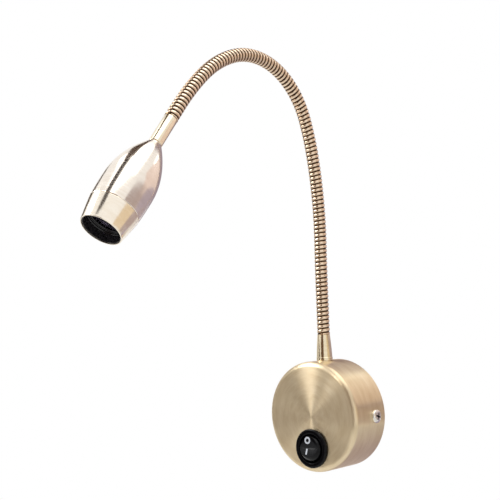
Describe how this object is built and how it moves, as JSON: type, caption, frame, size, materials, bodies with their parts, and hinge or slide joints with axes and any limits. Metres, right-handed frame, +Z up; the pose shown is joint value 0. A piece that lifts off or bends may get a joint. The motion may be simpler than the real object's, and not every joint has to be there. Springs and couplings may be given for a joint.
{
  "type": "gooseneck wall lamp",
  "caption": "Bedside wall reading lamp: round wall base with a rocker switch, ribbed gooseneck and a bullet-shaped head with a recessed lens.",
  "frame": {"origin": "centre of the base's back face, on the wall plane, midway between the two wall slots", "axes": "+Y into the wall, -Y out into the room, +Z up, +X to the right of someone at the wall facing the room's side of the lamp from in front"},
  "size_m": [0.0698, 0.1912, 0.2465],
  "materials": {
    "cover_antique_brass": "antique brass plate on spun steel, brushed in circles",
    "head_antique_brass": "antique brass plate, polished",
    "gooseneck_brass": "brass plated steel winding",
    "turned_brass": "turned and polished brass",
    "zinc_steel": "bright zinc plate",
    "nickel_screw": "nickel plate",
    "contact_brass": "rolled brass strip",
    "black_gloss": "glossy black moulding",
    "white_nylon": "natural nylon",
    "white_case": "white moulded case",
    "foam_pad": "adhesive foam",
    "black_rubber": "moulded rubber",
    "grey_silicone": "thermal silicone",
    "plain_aluminium": "turned",
    "board_white": "white solder mask",
    "emitter_yellow": "phosphor under silicone",
    "lens_acrylic": "clear acrylic, tinted",
    "lead_white": "white sheath",
    "wire_brown": "brown insulation",
    "wire_blue": "blue insulation"
  },
  "bodies": {
    "base": {"base_cover": "cover_antique_brass", "wall_bracket": "zinc_steel", "cover_screws": "nickel_screw", "earth_washer": "zinc_steel", "earth_screw": "zinc_steel", "supply_grommet": "black_rubber", "terminal_block": "white_nylon", "terminal_screws": "zinc_steel", "terminal_fixing_screw": "zinc_steel", "driver_case": "white_case", "driver_pad": "foam_pad", "switch_housing": "black_gloss", "switch_common_terminal": "contact_brass", "switch_contact_terminal": "contact_brass", "lower_ferrule": "turned_brass", "lock_washer": "zinc_steel", "lock_nut": "turned_brass", "neutral_wire": "wire_blue", "live_wire": "wire_brown", "switched_wire": "wire_brown", "gooseneck_01": "gooseneck_brass", "lamp_lead_01": "lead_white"},
    "neck_02": {"gooseneck_02": "gooseneck_brass", "lamp_lead_02": "lead_white"},
    "neck_03": {"gooseneck_03": "gooseneck_brass", "lamp_lead_03": "lead_white"},
    "neck_04": {"gooseneck_04": "gooseneck_brass", "lamp_lead_04": "lead_white"},
    "neck_05": {"gooseneck_05": "gooseneck_brass", "lamp_lead_05": "lead_white"},
    "neck_06": {"gooseneck_06": "gooseneck_brass", "lamp_lead_06": "lead_white"},
    "neck_07": {"gooseneck_07": "gooseneck_brass", "lamp_lead_07": "lead_white"},
    "neck_08": {"gooseneck_08": "gooseneck_brass", "lamp_lead_08": "lead_white"},
    "neck_09": {"gooseneck_09": "gooseneck_brass", "lamp_lead_09": "lead_white"},
    "neck_10": {"gooseneck_10": "gooseneck_brass", "lamp_lead_10": "lead_white"},
    "head": {"gooseneck_11": "gooseneck_brass", "lamp_lead_11": "lead_white", "upper_sleeve": "turned_brass", "head_shell": "head_antique_brass", "front_ring": "head_antique_brass", "lens": "lens_acrylic", "glare_ring": "black_gloss", "heat_slug": "plain_aluminium", "thermal_pad": "grey_silicone", "light_board": "board_white", "board_screws": "nickel_screw", "light_emitter": "emitter_yellow"},
    "rocker": {"switch_rocker": "black_gloss", "switch_plunger": "zinc_steel", "switch_spring": "zinc_steel"},
    "contact_lever": {"switch_lever": "contact_brass"}
  },
  "joints": [
    {"name": "neck_nod_01", "type": "hinge", "parent": "base", "child": "neck_02", "pos_m": [0, -0.014, 0.07623], "axis": [1, 0, 0], "range_deg": [-12, 12]},
    {"name": "neck_sway_02", "type": "hinge", "parent": "neck_02", "child": "neck_03", "pos_m": [0, -0.01361, 0.10406], "axis": [0, 0.9996, -0.0279], "range_deg": [-12, 12]},
    {"name": "neck_nod_03", "type": "hinge", "parent": "neck_03", "child": "neck_04", "pos_m": [0, -0.01448, 0.13186], "axis": [1, 0, 0], "range_deg": [-12, 12]},
    {"name": "neck_sway_04", "type": "hinge", "parent": "neck_04", "child": "neck_05", "pos_m": [0, -0.01805, 0.15689], "axis": [0, 0.9816, 0.1908], "range_deg": [-12, 12]},
    {"name": "neck_nod_05", "type": "hinge", "parent": "neck_05", "child": "neck_06", "pos_m": [0, -0.0242, 0.17879], "axis": [1, 0, 0], "range_deg": [-12, 12]},
    {"name": "neck_sway_06", "type": "hinge", "parent": "neck_06", "child": "neck_07", "pos_m": [0, -0.03672, 0.19756], "axis": [0, 0.682, 0.7314], "range_deg": [-12, 12]},
    {"name": "neck_nod_07", "type": "hinge", "parent": "neck_07", "child": "neck_08", "pos_m": [0, -0.05892, 0.20904], "axis": [1, 0, 0], "range_deg": [-12, 12]},
    {"name": "neck_sway_08", "type": "hinge", "parent": "neck_08", "child": "neck_09", "pos_m": [0, -0.08631, 0.20698], "axis": [0, -0.3469, 0.9379], "range_deg": [-12, 12]},
    {"name": "neck_nod_09", "type": "hinge", "parent": "neck_09", "child": "neck_10", "pos_m": [0, -0.11004, 0.19275], "axis": [1, 0, 0], "range_deg": [-12, 12]},
    {"name": "neck_sway_10", "type": "hinge", "parent": "neck_10", "child": "head", "pos_m": [0, -0.12908, 0.17251], "axis": [0, -0.7869, 0.617], "range_deg": [-12, 12]},
    {"name": "rocker_tilt", "type": "hinge", "parent": "base", "child": "rocker", "pos_m": [0, -0.0276, -0.0184], "axis": [1, 0, 0], "range_deg": [0, 24]},
    {"name": "lever_tilt", "type": "hinge", "parent": "base", "child": "contact_lever", "pos_m": [0, -0.01955, -0.0184], "axis": [1, 0, 0], "range_deg": [-16, 0]}
  ],
  "couplings": [
    {"joint": "lever_tilt", "follows": "rocker_tilt", "ratio": -0.66667}
  ]
}
